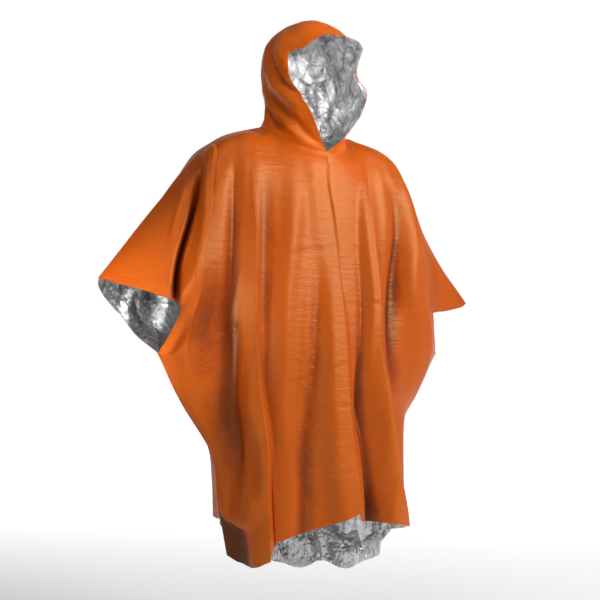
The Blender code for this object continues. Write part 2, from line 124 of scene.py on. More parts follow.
def spline(knots, values, at):
    """A smooth curve through values at knots, read at every place in at."""
    knots, values, at = np.asarray(knots, float), np.asarray(values, float), np.asarray(at, float)
    step = np.diff(knots)
    slope = np.diff(values, axis=0) / step[:, None]
    tangent = np.empty_like(values)
    tangent[1:-1] = (slope[:-1] * step[1:, None] + slope[1:] * step[:-1, None]) / (step[:-1] + step[1:])[:, None]
    tangent[0], tangent[-1] = slope[0], slope[-1]
    i = np.clip(np.searchsorted(knots, at, side="right") - 1, 0, len(knots) - 2)
    h = step[i][..., None]
    x = ((at - knots[i]) / step[i])[..., None]
    return ((2 * x**3 - 3 * x**2 + 1) * values[i] + (x**3 - 2 * x**2 + x) * h * tangent[i]
            + (3 * x**2 - 2 * x**3) * values[i + 1] + (x**3 - x**2) * h * tangent[i + 1])


def smooth(x):
    x = np.clip(x, 0.0, 1.0)
    return x * x * (3 - 2 * x)


def neckline(u, front):
    """The neck opening's rim: half an ellipse in plan, lowest at the front."""
    turn = np.clip(np.abs(u) / NECK_U, 0, 1) * math.pi / 2
    reach = -NECK_FRONT if front else NECK_BACK
    low = V_BOTTOM_Z if front else NAPE_Z
    rise = 1 - np.cos(turn) if front else np.sin(turn) ** 2
    return np.stack([np.sign(u) * NECK_HALF_WIDTH * np.sin(turn),
                     NECK_Y + reach * np.cos(turn),
                     low + (NECK_SIDE_Z - low) * rise], -1)


def arm_seam(u):
    """Shoulder and arm seam from the neck to the tip of the cuff."""
    row = FRONT_SECTIONS[0]
    start = (NECK_HALF_WIDTH, NECK_Y, NECK_SIDE_Z)
    along = np.clip(np.abs(u), NECK_U, 1)
    knots = (NECK_U, 0.50, 0.75, 1.0)
    right = spline(knots, [start, row[4], row[5], row[6]], along) * MIRROR
    left = spline(knots, [start, row[4], row[7], row[8]], along)
    return np.where((u < 0)[..., None], right, left)


def side_edge(v, front, left):
    """Outer edge of a panel: down the cuff, then down the side seam."""
    rows = FRONT_SECTIONS if front else BACK_SECTIONS
    at = [r[0] for r in rows]
    edge = [r[8] if left else np.multiply(r[6], MIRROR) for r in rows]
    k = at.index(CUFF_V)
    upper = spline(at[:k + 1], edge[:k + 1], np.minimum(v, CUFF_V))
    lower = spline(at[k:], edge[k:], np.maximum(v, CUFF_V))
    lower[:, 1] = np.minimum(lower[:, 1], 0.0)
    return np.where((v < CUFF_V)[..., None], upper, lower)


def net(rows, u, v):
    """The section table as a smooth surface over the whole width."""
    at = [r[0] for r in rows]
    left = [spline(at, [r[k] for r in rows], v) for k in (1, 2, 3, 4, 7, 8)]
    right = [spline(at, [r[k] for r in rows], v) * MIRROR for k in (6, 5, 4, 3, 2)]
    knots = [-x for x in COLUMN_U[:0:-1]] + list(COLUMN_U)
    values = right + left
    out = np.empty(u.shape + (3,))
    for i in range(u.shape[0]):
        out[i] = spline(knots, [c[i, 0] for c in values], u[i])
    return out


# ---------------------------------------------------------------- folds
FILM = 0.0008          # thickness of the laminate as shown

# Lines that the front's columns follow, so that a fold is sharp along them:
# rows of (how far down v, across u).
FRONT_LINES = {
    "sleeve": ((0.00, -.600), (0.05, -.612), (0.09, -.640), (0.13, -.676), (0.17, -.750), (0.21, -.850), (0.26, -.945), (0.32, -.960), (1.0, -.960)),
    "arm":    ((0.00, -.520), (0.04, -.540), (0.09, -.572), (0.19, -.640), (0.26, -.735), (0.35, -.850), (0.49, -.850), (0.75, -.880), (1.0, -.900)),
    "right":  ((0.00, -.335), (0.11, -.395), (0.27, -.408), (0.41, -.440), (0.52, -.460), (0.64, -.458), (0.76, -.480), (0.87, -.490), (1.0, -.480)),
    "centre": ((0.00, .000), (0.05, -.014), (0.20, -.014), (0.40, -.019), (0.50, -.030), (0.62, -.045), (0.75, -.050), (1.0, -.042)),
    "left":   ((0.00, .290), (0.08, .262), (0.13, .215), (0.20, .180), (0.26, .158), (0.40, .130), (0.50, .106), (0.62, .104), (0.75, .112), (0.88, .140), (1.0, .200)),
    "far":    ((0.00, .470), (0.11, .495), (0.15, .530), (0.27, .535), (0.37, .560), (0.48, .640), (0.62, .700), (1.0, .750)),
}
FRONT_COLUMNS = (46, 34, 50, 66, 46, 40, 40)      # cells between the edge and each line in turn
FRONT_ROWS = 146
POUCH_V = 0.886        # how far down the cloth folds over at the wearer's right side

# Ridges on those lines. Each row: how far down, height, width of the rising
# flank, width of the flat top before the line, width of the drop after it, how
# far the top leans to the wearer's left, depth of the slit at its foot; all in
# metres but the first.
#            v,    height, flank, top,   drop,  lean,  slit
FRONT_RIDGES = {
    "arm": ((0.00, .000, .030, .020, .014, .000, .000), (0.05, .008, .030, .020, .012, .002, .002), (0.12, .022, .024, .024, .012, .006, .003), (0.22, .032, .028, .028, .012, .009, .003),
            (0.34, .018, .034, .030, .012, .006, .003), (0.42, .008, .040, .030, .014, .003, .002), (0.50, .005, .040, .030, .016, .001, .001), (0.58, .000, .040, .030, .016, .000, .000), (1.0, .000, .040, .030, .016, .000, .000)),
    "right": ((0.00, .000, .030, .020, .014, .000, .000), (0.06, .007, .030, .022, .012, .002, .001), (0.14, .016, .026, .018, .014, .004, .002), (0.30, .024, .026, .020, .015, .004, .0015),
              (0.50, .024, .028, .020, .015, .005, .0015), (0.75, .026, .038, .026, .015, .006, .002), (0.88, .030, .062, .032, .014, .008, .003), (1.0, .030, .074, .034, .012, .010, .003)),
    "centre": ((0.00, .003, .040, .030, .008, .001, .003), (0.10, .006, .040, .032, .007, .002, .005), (0.30, .009, .036, .032, .014, .002, .004), (0.45, .014, .036, .034, .022, .002, .004),
               (0.60, .020, .038, .034, .028, .003, .004), (0.80, .026, .042, .036, .028, .004, .003), (1.0, .030, .045, .038, .022, .006, .003)),
    "left": ((0.00, .000, .030, .020, .014, .000, .000), (0.10, .003, .026, .018, .010, .002, .002), (0.18, .014, .026, .020, .009, .004, .004), (0.30, .028, .022, .018, .009, .007, .003),
             (0.50, .034, .024, .020, .010, .009, .003), (0.70, .042, .036, .046, .012, .008, .002), (1.0, .036, .040, .050, .016, .005, .000)),
    "far": ((0.00, .000, .040, .050, .05, .000, .000), (0.06, .002, .040, .050, .05, .000, .000), (0.15, .012, .040, .050, .06, .000, .000), (0.30, .024, .044, .050, .07, .000, .000),
            (0.45, .020, .050, .050, .07, .000, .000), (0.62, .010, .050, .050, .07, .000, .000), (0.72, .000, .050, .050, .07, .000, .000), (1.0, .000, .050, .050, .07, .000, .000)),
    "sleeve": ((0.00, .000, .030, .000, .03, .000, .000), (0.05, -.006, .030, .000, .03, .000, .000), (0.10, -.022, .034, .000, .028, .000, .000), (0.16, -.030, .050, .000, .034, .000, .000),
               (0.24, -.034, .070, .000, .044, .000, .000), (0.30, -.028, .050, .000, .04, .000, .000), (0.40, .000, .040, .000, .04, .000, .000), (1.0, .000, .030, .000, .03, .000, .000)),
}
# Softer ridges (+) and valleys (-) of the front: crest at four depths down,
# height there, and reach to each side in metres.
#   (v, u, height) ...,                                                                    right, left
FRONT_SOFT = (
    (((0.00, -.64, .000), (0.05, -.680, .006), (0.10, -.745, .006), (0.16, -.84, .000)), .020, .010),
    (((0.08, -.43, .000), (0.20, -.450, -.013), (0.30, -.468, -.018), (0.42, -.512, -.030), (0.50, -.534, -.034), (0.57, -.570, -.022), (0.66, -.675, -.020), (0.76, -.755, -.014), (0.85, -.800, .000)), .036, .026),
    (((0.28, -.64, .000), (0.38, -.670, -.009), (0.48, -.710, -.011), (0.60, -.76, .000)), .044, .036),
    (((0.66, -.58, .000), (0.72, -.590, -.010), (0.80, -.600, -.010), (0.86, -.600, .000)), .012, .014),
    (((0.10, -.15, .000), (0.20, -.180, .008), (0.38, -.260, .012), (0.60, -.325, .013), (0.80, -.400, .012), (1.0, -.43, .010)), .028, .026),
    (((0.08, -.04, .000), (0.25, -.060, -.003), (0.38, -.095, -.006), (0.47, -.125, -.007), (0.57, -.155, -.008), (0.66, -.195, -.009), (0.77, -.240, -.011), (0.88, -.262, -.013), (1.0, -.280, -.010)), .018, .028),
    (((0.12, -.32, .000), (0.20, -.330, -.005), (0.45, -.380, -.006), (0.70, -.420, -.006), (1.0, -.44, -.004)), .014, .024),
    (((0.12, .150, .000), (0.22, .130, -.006), (0.375, .100, -.010), (0.47, .078, -.016), (0.57, .050, -.034), (0.665, .030, -.050), (0.77, .034, -.048), (0.88, .044, -.046), (1.0, .042, -.040)), .020, .036),
    (((0.08, .450, .000), (0.16, .430, -.011), (0.24, .410, -.020), (0.34, .350, -.025), (0.45, .300, -.024), (0.55, .270, -.013), (0.65, .27, .000)), .026, .034),
    (((0.60, .380, .000), (0.75, .400, .008), (1.0, .420, .010)), .040, .040),
    (((0.02, .34, .000), (0.08, .340, .004), (0.16, .330, .005), (0.26, .300, .004), (0.34, .27, .000)), .012, .014),
)
# Fine creases across the front: two or three points (v, u), depth and width.
FRONT_CREASES = (
    (((0.32, -.36), (0.28, -.16), (0.26, -.01)), .0016, .0045), (((0.43, -.38), (0.43, -.29), (0.41, -.10)), .0014, .0045),
    (((0.61, -.42), (0.59, -.23), (0.54, -.01)), .0018, .0045), (((0.68, -.24), (0.66, -.06), (0.66, -.01)), .0014, .0045),
    (((0.84, -.17), (0.86, -.04)), .0014, .005), (((0.395, .03), (0.41, .17)), .0024, .004), (((0.57, .01), (0.58, .12)), .0014, .004),
    (((0.56, .28), (0.59, .37)), .0016, .004), (((0.85, .06), (0.86, .20)), .0014, .004), (((0.58, -.93), (0.55, -.67)), .0024, .005),
    (((0.56, -.82), (0.53, -.70)), .0018, .005), (((0.34, -.71), (0.37, -.53)), .0016, .005), (((0.19, -.34), (0.17, -.14)), .0012, .005),
    (((0.26, .05), (0.27, .16)), .0012, .005), (((0.48, -.76), (0.46, -.50)), .0016, .005), (((0.50, -.74), (0.49, -.56)), .0014, .006),
    (((0.35, -.76), (0.39, -.58)), .0012, .005), (((0.72, -.10), (0.78, -.06)), .0012, .006), (((0.83, -.09), (0.97, -.06)), .0014, .008),
    (((0.64, .30), (0.67, .42)), .0012, .005), (((0.30, .42), (0.36, .50)), .0010, .006), (((0.44, .30), (0.50, .44)), .0012, .006),
)
BACK_COLUMNS, BACK_ROWS = 300, 150
BACK_SOFT = (
    (((0.02, -.60, .000), (0.10, -.680, -.020), (0.20, -.830, -.028), (0.28, -.950, -.020), (0.36, -.97, .000)), .040, .024),
    (((0.02, -.50, .000), (0.14, -.580, .018), (0.26, -.680, .022), (0.38, -.78, .010), (0.46, -.82, .000)), .040, .030),
    (((0.04, -.40, .000), (0.20, -.430, .014), (0.50, -.480, .018), (0.80, -.52, .018), (1.0, -.54, .016)), .045, .028),
    (((0.10, -.30, .000), (0.30, -.310, -.010), (0.60, -.340, -.014), (1.0, -.39, -.016)), .030, .030),
    (((0.06, -.14, .000), (0.20, -.145, .010), (0.50, -.165, .018), (0.80, -.20, .020), (1.0, -.22, .022)), .040, .024),
    (((0.12, -.03, .000), (0.40, -.040, -.010), (0.70, -.06, -.016), (1.0, -.08, -.022)), .026, .030),
    (((0.05, .10, .000), (0.20, .115, .012), (0.50, .120, .017), (0.80, .11, .020), (1.0, .10, .022)), .035, .028),
    (((0.10, .21, .000), (0.35, .225, -.010), (0.70, .23, -.015), (1.0, .22, -.020)), .026, .030),
    (((0.05, .34, .000), (0.20, .350, .012), (0.50, .380, .017), (0.80, .41, .018), (1.0, .42, .018)), .034, .040),
    (((0.30, .52, .000), (0.60, .560, -.010), (1.0, .60, -.012)), .030, .030),
    (((0.02, .50, .000), (0.14, .580, .016), (0.26, .690, .020), (0.38, .78, .010), (0.48, .83, .000)), .030, .040),
    (((0.02, .61, .000), (0.10, .690, -.018), (0.20, .840, -.026), (0.28, .950, -.018), (0.36, .97, .000)), .024, .040),
    (((0.55, -.72, .000), (0.70, -.780, -.009), (0.85, -.82, .000)), .025, .025),
    (((0.55, .72, .000), (0.70, .780, -.009), (0.90, .82, .000)), .025, .025),
)
BACK_CREASES = (
    (((0.24, -.34), (0.22, -.10), (0.23, .02)), .0015, .005), (((0.38, -.40), (0.40, -.18), (0.39, .05)), .0016, .005),
    (((0.52, -.10), (0.50, .16), (0.51, .36)), .0016, .005), (((0.66, -.44), (0.64, -.20), (0.65, .02)), .0016, .005),
    (((0.72, .04), (0.74, .24), (0.73, .44)), .0015, .005), (((0.84, -.38), (0.86, -.12)), .0014, .005),
    (((0.30, .10), (0.31, .34), (0.28, .48)), .0014, .005), (((0.90, .02), (0.91, .30)), .0014, .005),
    (((0.46, -.80), (0.42, -.56)), .0020, .005), (((0.46, .80), (0.42, .56)), .0020, .005),
    (((0.56, -.84), (0.53, -.66)), .0016, .005), (((0.56, .84), (0.53, .66)), .0016, .005),
)


def along(knots, at):
    """Smooth reading of rows (place, value...) at every place in at."""
    k = np.array(knots, float)
    return spline(k[:, 0], k[:, 1:], np.clip(at, k[0, 0], k[-1, 0]))


def curve(front, u, v):
    """Points of the panel's plain form at (u, v); v is the same along a row."""
    rows = FRONT_SECTIONS if front else BACK_SECTIONS
    p = net(rows, u, v)
    top = np.where((np.abs(u) <= NECK_U)[..., None], neckline(u, front), arm_seam(u))
    p = p + (1 - smooth(v / 0.10))[..., None] * (top - net(rows, u, np.zeros_like(v)))
    for column, left in ((0, False), (-1, True)):
        near = smooth((np.abs(u) - 0.86) / 0.14) * ((u > 0) == left)
        p = p + near[..., None] * (side_edge(v[:, 0], front, left)[:, None] - p[:, [column]])
    stations = np.array(FRONT_HEM if front else BACK_HEM)
    hem = np.interp(u, stations[:, 0], stations[:, 1])
    p[..., 2] += (hem - net(rows, u, np.ones_like(v))[..., 2]) * smooth((v - 0.62) / 0.38)
    p[..., 2] += SHOULDER_LIFT * smooth((u - NECK_U) / 0.07) * (1 - smooth((u - 0.5) / 0.2)) * (1 - smooth(v / 0.25))
    return p


def unit(a):
    return a / np.maximum(np.linalg.norm(a, axis=-1, keepdims=True), 1e-12)


def bell(d, right, left):
    """1 on the line, falling smoothly to 0 at its reach on each side."""
    return np.where(d < 0, smooth(1 + d / right), smooth(1 - d / left))


def far_along(p):
    """Distance across each row, in metres."""
    step = np.linalg.norm(np.diff(p, axis=1), axis=2)
    return np.concatenate([np.zeros((len(p), 1)), np.cumsum(step, axis=1)], axis=1)


def at_u(s, u, place):
    """Distance across each row at which u is reached."""
    return np.array([np.interp(c, a, b) for c, a, b in zip(place, u, s)])


def soft_folds(table, s, u, v):
    h = np.zeros_like(s)
    for knots, right, left in table:
        k = np.array(knots)
        row = v[:, 0]
        inside = (row >= k[0, 0]) & ((row <= k[-1, 0]) | (k[-1, 0] >= 1))
        c = along(k, row)
        d = s - at_u(s, u, c[:, 0])[:, None]
        h += bell(d, right * 1.5, left * 1.5) * (c[:, 1] * inside)[:, None]
    return h


def creases(table, p, u, v):
    """Fine creases: a shallow groove with a low lip above it."""
    h = np.zeros(u.shape)
    for knots, depth, width in table:
        k = np.array(knots)
        order = np.argsort(k[:, 1])
        vc = np.interp(u, k[order, 1], k[order, 0])
        edge = smooth((u - k[:, 1].min()) / 0.04) * smooth((k[:, 1].max() - u) / 0.04)
        drop = (v - vc) * 1.0
        h += 1.6 * depth * edge * (0.7 * np.exp(-((drop + width) / width) ** 2) - np.exp(-(drop / width) ** 2))
    return h


def ripple(p, size, seed, octaves=3):
    """Smooth noise at each point, from about -1 to 1."""
    flat = p.reshape(-1, 3)
    out = np.empty(len(flat))
    for i, q in enumerate(flat):
        out[i] = noise.fractal(Vector((q[0] / size + seed, q[1] / size, q[2] / size)), 1.0, 2.0, octaves)
    return out.reshape(p.shape[:-1])


def front_surface():
    rows = np.linspace(0, 1, FRONT_ROWS + 1)
    dense = 1 - 0.45 * np.exp(-((rows - 0.03) / 0.06) ** 2) - 0.40 * np.exp(-((rows - 0.91) / 0.05) ** 2)
    v = np.concatenate([[0], np.cumsum((dense[1:] + dense[:-1]) / 2)])
    v /= v[-1]
    lines = [along(k, v)[:, 0] for k in FRONT_LINES.values()]
    stops = [-np.ones_like(v)] + lines + [np.ones_like(v)]
    columns, index = [stops[0][:, None]], []
    for a, b, n in zip(stops, stops[1:], FRONT_COLUMNS):
        x = np.arange(1, n + 1) / n
        f = x - 0.72 * np.sin(2 * math.pi * x) / (2 * math.pi)
        columns.append(a[:, None] + (b - a)[:, None] * f)
        index.append(sum(c.shape[1] for c in columns) - 1)
    u = np.concatenate(columns, axis=1)
    vv = np.repeat(v[:, None], u.shape[1], axis=1)
    p = curve(True, u, vv)
    n, t = unit(np.cross(np.gradient(p, axis=0), np.gradient(p, axis=1))), unit(np.gradient(p, axis=1))
    n *= np.where(n[..., 1:2] > 0, -1.0, 1.0)
    s = far_along(p)
    h = soft_folds(FRONT_SOFT, s, u, vv)
    lean = np.zeros_like(h)
    for (name, _), column in zip(FRONT_LINES.items(), index):
        if name not in FRONT_RIDGES:
            continue
        height, flank, top, fall, over, slit = along(FRONT_RIDGES[name], v).T[..., None]
        d = s - s[:, [column]]
        h += height * np.where(d < 0, smooth((d + top + flank) / flank), 1 - smooth(d / fall))
        h -= slit * np.exp(-((d - np.minimum(fall * 1.1, 0.010)) / 0.0035) ** 2) if name != "sleeve" else 0.0
        lean += over * bell(d, (flank + top), fall * 2.2)
    h += creases(FRONT_CREASES, p, u, vv)
    # The pouch at the wearer's right side of the hem, and the cloth under it.
    side = 1 - smooth((u + 0.78) / 0.34)
    lip = POUCH_V + 0.012 * np.sin((u + 1.0) * 7.0)
    over = 0.010 * np.where(vv < lip, np.exp(-((vv - lip) / 0.035) ** 2), 1 - smooth((vv - lip) / 0.014)) * smooth((u + 1) / 0.10)
    under = 0.012 * smooth((vv - lip - 0.004) / 0.022) * (0.3 + 0.7 * smooth((u + 1) / 0.25))
    pouch = side * (over - under)
    keep = np.where(vv >= CUFF_V, 1 - smooth((np.abs(u) - 0.90) / 0.10), 1 - 0.75 * smooth((np.abs(u) - 0.93) / 0.07))
    keep = keep * smooth(vv / 0.035)
    q = p + n * (h * keep)[..., None] + t * (lean * keep)[..., None]
    for _ in range(3):
        q[:, 1:-1] = 0.5 * q[:, 1:-1] + 0.25 * (q[:, :-2] + q[:, 2:])
    q += pouch[..., None] * np.array([-0.93, -0.37, 0.0])
    # Painted shade under the pouch lip: the fold height passed on for the colour drops there, most at the wearer's
    # right edge; the shape is not changed.
    h = h - side * 0.060 * smooth((vv - lip - 0.002) / 0.012) * (1 - 0.75 * smooth((u + 0.95) / 0.42))
    q[..., 0] += HEM_TURN * smooth(vv) * (1 - np.abs(u) ** 2)
    q[..., 1] -= GAP / 2
    return q, h, u, vv


def back_surface():
    v = np.linspace(0, 1, BACK_ROWS + 1)
    u = np.repeat(np.linspace(-1, 1, BACK_COLUMNS + 1)[None], len(v), axis=0)
    vv = np.repeat(v[:, None], u.shape[1], axis=1)
    p = curve(False, u, vv)
    n = unit(np.cross(np.gradient(p, axis=0), np.gradient(p, axis=1)))
    n *= np.where(n[..., 1:2] < 0, -1.0, 1.0)
    s = far_along(p)
    h = soft_folds(BACK_SOFT, s, u, vv) + creases(BACK_CREASES, p, u, vv)
    keep = np.where(vv >= CUFF_V, 1 - smooth((np.abs(u) - 0.88) / 0.12), 1 - 0.75 * smooth((np.abs(u) - 0.93) / 0.07))
    q = p + n * (h * keep * smooth(vv / 0.05))[..., None]
    q[..., 1] += GAP / 2
    # h * keep goes on as painted light in the colour: paler on ridges, darker in valleys.
    return q, h * keep, u, vv


HOOD_CELLS = (150, 150)      # down the hood and from crown seam to free edge


def hood_surface(left):
    nt, ns = HOOD_CELLS
    t, s = np.linspace(0, 1, nt + 1), np.linspace(0, 1, ns + 1)
    hoops = HOOD_LEFT if left else HOOD_RIGHT
    columns = [spline([h[0] for h in hoops], [h[k] for h in hoops], t) for k in range(1, 6)]
    knots = (-0.30, 0.0, 0.30, 0.55, 0.78, 1.0)
    p = np.empty((nt + 1, ns + 1, 3))
    for i in range(nt + 1):
        p[i] = spline(knots, [columns[1][i] * MIRROR] + [c[i] for c in columns], s)
    around = np.linspace(math.pi, 0, ns + 1)
    u = NECK_U * np.where(around < math.pi / 2, around, math.pi - around) / (math.pi / 2)
    base = np.where((around <= math.pi / 2)[:, None], neckline(u, True), neckline(u, False))
    base[:, 2] += 0.0007
    base[:, :2] *= 1 - 0.0002 / NECK_HALF_WIDTH
    p = p + (1 - smooth(t / 0.30))[:, None, None] * (base[None] - p[:1])
    tt, ss = np.repeat(t[:, None], ns + 1, axis=1), np.repeat(s[None], nt + 1, axis=0)
    n = unit(np.cross(np.gradient(p, axis=0), np.gradient(p, axis=1)))
    n *= np.where((n * (p - np.array([0.0, -0.01, 0.17]))).sum(-1, keepdims=True) < 0, -1.0, 1.0)
    h = np.zeros_like(tt)
    for t0, s0, t1, s1, height, reach in (HOOD_FOLDS_LEFT if left else HOOD_FOLDS_RIGHT):
        a, b = np.array([t0, s0 * 0.75]), np.array([t1, s1 * 0.75])
        w = np.stack([tt, ss * 0.75], -1) - a
        f = np.clip((w @ (b - a)) / ((b - a) @ (b - a)), 0, 1)
        d = np.linalg.norm(w - f[..., None] * (b - a), axis=-1)
        h += height * np.exp(-(d / reach) ** 2) * np.sin(math.pi * np.clip(0.12 + 0.76 * f, 0, 1))
    h += 0.0022 * ripple(p, 0.045, 3.0 + left) * smooth(tt / 0.12)
    edge = smooth(ss / 0.06) * smooth(tt / 0.10)
    p = p + n * (h * edge)[..., None]
    p[..., 0] = np.maximum(p[..., 0], GAP * 0.5)
    p[:, 0, 0] = GAP * 0.9
    if not left:
        p[..., 0] *= -1
    # The fold height, halved, goes on as painted light in the colour: paler on ridges, darker in valleys.
    return p, 0.5 * h * edge


# Hood folds: where each starts and ends (t up from the neckline, s from the
# crown seam to the free edge), height and reach.
HOOD_FOLDS_RIGHT = (
    (.64, .42, .52, .98, -.011, .048), (.50, .46, .40, .94, .007, .050), (.36, .48, .22, .82, -.012, .055),
    (.22, .82, .06, .95, -.008, .040), (.24, .40, .03, .70, -.009, .034), (.28, .60, .10, .80, .005, .034),
    (.16, .30, .02, .45, -.006, .034), (.84, .35, .74, .75, .005, .060),
)
HOOD_FOLDS_LEFT = (
    (.92, .50, .66, .90, -.014, .034), (.40, .62, .12, .44, -.010, .026), (.42, .48, .12, .40, .008, .024),
    (.45, .36, .12, .36, -.010, .026), (.36, .78, .14, .52, .007, .028), (.42, .26, .26, .30, -.012, .028),
    (.66, .30, .56, .66, .006, .040), (.74, .14, .60, .22, -.007, .030), (.28, .66, .06, .86, -.007, .040),
)


# ---------------------------------------------------------------- meshes
def shell(name, p, rise, outer, film, foil):
    """A closed thin shell on a grid of points: film outside, foil inside.
    outer is +1 if the grid is the inner surface and the film lies outside it,
    or -1 if the grid is the film and the foil lies inside it."""
    rows, columns = p.shape[:2]
    n = unit(np.cross(np.gradient(p, axis=0), np.gradient(p, axis=1)))
    away = p - np.array([0.0, 0.0, 0.17 if "hood" in name else 0.0])
    probe = away if "hood" in name else np.stack([0 * p[..., 0], p[..., 1] * 0 + (-1.0 if name == "front_film" else 1.0), 0 * p[..., 0]], -1)
    turned = float(np.sum(n * probe)) < 0
    if turned:
        n = -n
    skins = (p + n * FILM, p) if outer > 0 else (p, p - n * FILM)
    verts = np.concatenate([s.reshape(-1, 3) for s in skins])
    grid = np.arange(rows * columns).reshape(rows, columns)
    a, b, c, d = (x.ravel() for x in (grid[:-1, :-1], grid[1:, :-1], grid[1:, 1:], grid[:-1, 1:]))
    quads = np.stack([a, b, c, d], -1)
    if turned:
        quads = quads[:, ::-1]
    inner = quads[:, ::-1] + rows * columns
    ring = np.concatenate([grid[:-1, 0], grid[-1, :-1], grid[:0:-1, -1], grid[0, :0:-1]])
    nxt = np.roll(ring, -1)
    rim = np.stack([nxt, ring, ring + rows * columns, nxt + rows * columns], -1)
    if turned:
        rim = rim[:, ::-1]
    faces = np.concatenate([quads, inner, rim])
    mesh = bpy.data.meshes.new(name)
    mesh.from_pydata(verts.tolist(), [], faces.tolist())
    slots = np.zeros(len(faces), dtype=np.int32)
    slots[len(quads):len(quads) + len(inner)] = 1
    mesh.polygons.foreach_set("material_index", slots)
    mesh.polygons.foreach_set("use_smooth", np.ones(len(faces), dtype=bool))
    ends = np.empty(len(mesh.edges) * 2, dtype=np.int32)
    mesh.edges.foreach_get("vertices", ends)
    border = np.zeros(rows * columns * 2, dtype=bool)
    border[ring] = border[ring + rows * columns] = True
    ends = ends.reshape(-1, 2)
    sharp = mesh.attributes.new("sharp_edge", "BOOLEAN", "EDGE")
    sharp.data.foreach_set("value", border[ends].all(1))
    uv = mesh.uv_layers.new(name="cloth")
    across, down = far_along(p), far_along(np.swapaxes(p, 0, 1)).T
    across = across - across[:, [columns // 2]]
    flat = np.stack([across, down], -1).reshape(-1, 2)
    flat = np.concatenate([flat, flat])
    corner = np.empty(len(mesh.loops), dtype=np.int32)
    mesh.loops.foreach_get("vertex_index", corner)
    uv.data.foreach_set("uv", flat[corner].ravel())
    # rise is painted light: the fold height becomes the rise attribute, which pales ridges and darkens valleys and the
    # hollow under the pouch in the colour.
    height = mesh.attributes.new("rise", "FLOAT", "POINT")
    tint = np.interp(rise.ravel(), (-0.050, -0.014, 0.0, 0.034), (-0.54, -0.29, -0.03, 0.15))
    height.data.foreach_set("value", np.concatenate([tint, tint]).astype(np.float32))
    mesh.materials.append(film)
    mesh.materials.append(foil)
    mesh.update()
    obj = bpy.data.objects.new(name, mesh)
    bpy.context.scene.collection.objects.link(obj)
    area = float(np.linalg.norm(np.cross(p[1:, :-1] - p[:-1, :-1], p[:-1, 1:] - p[:-1, :-1]), axis=-1).sum() / 2
                 + np.linalg.norm(np.cross(p[1:, 1:] - p[:-1, 1:], p[1:, 1:] - p[1:, :-1]), axis=-1).sum() / 2)
    print("PIECE", name, "faces", len(faces), "tris", len(faces) * 2, "one layer m2 %.3f" % area)
    return obj


# ---------------------------------------------------------------- finishes
class Graph:
    """Short names for building a material's nodes."""

    def __init__(self, name):
        self.material = bpy.data.materials.new(name)
        self.material.use_nodes = True
        self.tree = self.material.node_tree
        self.shader = self.tree.nodes["Principled BSDF"]

    def node(self, kind, inputs=None, **settings):
        n = self.tree.nodes.new("ShaderNode" + kind)
        for k, value in settings.items():
            setattr(n, k, value)
        for k, value in (inputs or {}).items():
            if isinstance(value, bpy.types.NodeSocket):
                self.tree.links.new(value, n.inputs[k])
            else:
                n.inputs[k].default_value = value
        return n

    def link(self, a, socket):
        self.tree.links.new(a, self.shader.inputs[socket])

    def ramp(self, fac, stops):
        n = self.node("ValToRGB", {"Fac": fac})
        e = n.color_ramp.elements
        while len(e) < len(stops):
            e.new(0.5)
        for x, (at, colour) in zip(e, stops):
            x.position, x.color = at, colour
        return n.outputs["Color"]

    def scaled(self, vector, scale):
        return self.node("Mapping", {"Vector": vector, "Scale": scale}).outputs["Vector"]


def film_material(name, painted_deep_shade, dark_tone_and_painted_shade, base, pale, rough=0.46):
    g = Graph(name)
    uv = g.node("UVMap", uv_map="cloth").outputs["UV"]
    obj = g.node("TexCoord").outputs["Object"]
    broad = g.node("TexNoise", {"Vector": g.scaled(uv, (1.6, 1.0, 1.0)), "Scale": 7.0, "Detail": 4.0, "Roughness": 0.6}).outputs["Fac"]
    fine = g.node("TexNoise", {"Vector": g.scaled(uv, (1.0, 3.0, 1.0)), "Scale": 120.0, "Detail": 3.0, "Roughness": 0.6}).outputs["Fac"]
    mix = g.node("Math", {0: broad, 1: 0.42, 2: 0.12}, operation="MULTIPLY_ADD").outputs[0]
    mix = g.node("Math", {0: fine, 1: 0.30, 2: mix}, operation="MULTIPLY_ADD").outputs[0]
    # The rise attribute is painted light: fold height turned into colour, so ridges are paler (painted highlight) and
    # valleys and hollows darker (painted shade).
    mix = g.node("Math", {0: mix, 1: g.node("Attribute", attribute_name="rise").outputs["Fac"]}, operation="ADD").outputs[0]
    # Stops: the deep colour is painted shade only; dark and pale are random tone together with painted shade and
    # painted highlight.
    g.link(g.ramp(mix, ((0.04, painted_deep_shade), (0.24, dark_tone_and_painted_shade), (0.44, base), (0.56, base), (0.76, pale))), "Base Color")
    g.link(g.node("MapRange", {"Value": mix, "From Min": 0.3, "From Max": 0.7, "To Min": rough - 0.05, "To Max": rough + 0.07}).outputs[0], "Roughness")
    g.shader.inputs["Specular IOR Level"].default_value = 0.50
    g.shader.inputs["Specular Tint"].default_value = (1.0, 0.76, 0.34, 1.0)
    g.shader.inputs["Sheen Weight"].default_value = 0.02
    g.shader.inputs["Sheen Roughness"].default_value = 0.45
    g.shader.inputs["Sheen Tint"].default_value = (1.0, 0.72, 0.50, 1.0)
    lines = g.node("TexNoise", {"Vector": g.scaled(obj, (2.2, 2.2, 13.0)), "Scale": 7.0, "Detail": 3.0, "Roughness": 0.55, "Distortion": 0.6}).outputs["Fac"]
    crumple = g.node("TexNoise", {"Vector": obj, "Scale": 34.0, "Detail": 5.0, "Roughness": 0.62}).outputs["Fac"]
    grain = g.node("TexNoise", {"Vector": obj, "Scale": 520.0, "Detail": 2.0}).outputs["Fac"]
    b1 = g.node("Bump", {"Strength": 0.50, "Distance": 0.0030, "Height": lines})
    b2 = g.node("Bump", {"Strength": 0.40, "Distance": 0.0024, "Height": crumple, "Normal": b1.outputs["Normal"]})
    b3 = g.node("Bump", {"Strength": 0.10, "Distance": 0.0003, "Height": grain, "Normal": b2.outputs["Normal"]})
    g.link(b3.outputs["Normal"], "Normal")
    return g.material


